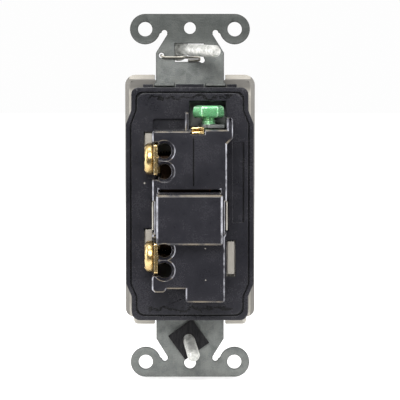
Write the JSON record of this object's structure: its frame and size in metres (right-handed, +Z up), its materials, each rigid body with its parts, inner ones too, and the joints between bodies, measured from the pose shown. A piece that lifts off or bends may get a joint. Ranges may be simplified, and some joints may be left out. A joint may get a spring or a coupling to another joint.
{
  "type": "decorator rocker switch",
  "caption": "Decorator rocker light switch on a steel mounting strap, with brass screw terminals and a green ground screw at the back.",
  "frame": {"origin": "middle of the two box-screw slots, on the back face of the steel strap", "axes": "+Z up along the strap, -Y out of the wall towards the user, +Y into the wall box"},
  "size_m": [0.0376, 0.0377, 0.105],
  "materials": {
    "galvanised_steel": "satin",
    "grey_plastic": "satin",
    "black_plastic": "gloss",
    "spring_steel": "satin",
    "brass": "gloss",
    "silver_contact": "satin",
    "copper_alloy": "satin",
    "green_screw": "gloss",
    "zinc_screw": "gloss",
    "black_fibre": "matte"
  },
  "bodies": {
    "device": {"mounting_strap": "galvanised_steel", "front_frame": "grey_plastic", "back_body": "black_plastic", "auto_ground_clip": "spring_steel", "upper_terminal": "brass", "lower_terminal": "brass", "fixed_contact": "silver_contact", "ground_clip": "brass"},
    "rocker": {"rocker": "grey_plastic", "actuator_spring": "spring_steel"},
    "plunger": {"actuator_plunger": "brass"},
    "contact_arm": {"contact_arm": "copper_alloy", "moving_contact": "silver_contact"},
    "upper_terminal_screw": {"upper_terminal_screw": "brass"},
    "lower_terminal_screw": {"lower_terminal_screw": "brass"},
    "upper_pressure_plate": {"upper_pressure_plate": "brass"},
    "lower_pressure_plate": {"lower_pressure_plate": "brass"},
    "ground_screw": {"ground_screw": "green_screw"},
    "upper_mounting_screw": {"upper_mounting_screw": "zinc_screw"},
    "lower_retainer": {"lower_screw_retainer": "black_fibre"},
    "lower_mounting_screw": {"lower_mounting_screw": "zinc_screw"}
  },
  "joints": [
    {"name": "rocker_tilt", "type": "hinge", "parent": "device", "child": "rocker", "pos_m": [0, -0.0052, 0], "axis": [-1, 0, 0], "range_deg": [0, 9]},
    {"name": "plunger_slide", "type": "slide", "parent": "rocker", "child": "plunger", "axis": [0, -0.9969, -0.0785], "range_m": [0, 0.0008], "stiffness_N_per_m": 200, "springref_m": -0.002, "deforming": ["actuator_spring"]},
    {"name": "contact_arm_tilt", "type": "hinge", "parent": "device", "child": "contact_arm", "pos_m": [-0.003, 0.0139, 0], "axis": [1, 0, 0], "range_deg": [0, 9]},
    {"name": "upper_terminal_screw_turn", "type": "hinge", "parent": "device", "child": "upper_terminal_screw", "pos_m": [0.0127, 0.013, 0.0114], "axis": [-1, 0, 0], "range_deg": [0, 1080]},
    {"name": "lower_terminal_screw_turn", "type": "hinge", "parent": "device", "child": "lower_terminal_screw", "pos_m": [0.0127, 0.013, -0.0161], "axis": [-1, 0, 0], "range_deg": [0, 1080]},
    {"name": "upper_pressure_plate_slide", "type": "slide", "parent": "device", "child": "upper_pressure_plate", "axis": [1, 0, 0], "range_m": [0, 0.00238]},
    {"name": "lower_pressure_plate_slide", "type": "slide", "parent": "device", "child": "lower_pressure_plate", "axis": [1, 0, 0], "range_m": [0, 0.00238]},
    {"name": "ground_screw_turn", "type": "hinge", "parent": "device", "child": "ground_screw", "pos_m": [-0.0053, 0.009, 0.025], "axis": [0, 0, -1], "range_deg": [0, 990]},
    {"name": "upper_mounting_screw_swing", "type": "hinge", "parent": "device", "child": "upper_mounting_screw", "pos_m": [0.0012, 0, 0.0422], "axis": [0, 0, -1], "range_deg": [0, 27]},
    {"name": "lower_retainer_slide", "type": "slide", "parent": "device", "child": "lower_retainer", "axis": [-0.0831, 0.9899, -0.1148], "range_m": [0, 0.0014]},
    {"name": "lower_mounting_screw_turn", "type": "hinge", "parent": "lower_retainer", "child": "lower_mounting_screw", "pos_m": [0.0004, 0, -0.0414], "axis": [-0.0831, 0.9899, -0.1148], "continuous": true}
  ],
  "couplings": [
    {"joint": "contact_arm_tilt", "follows": "rocker_tilt", "ratio": 1},
    {"joint": "upper_terminal_screw_turn", "follows": "upper_pressure_plate_slide", "rad_per_m": 7913.2},
    {"joint": "lower_terminal_screw_turn", "follows": "lower_pressure_plate_slide", "rad_per_m": 7913.2}
  ]
}
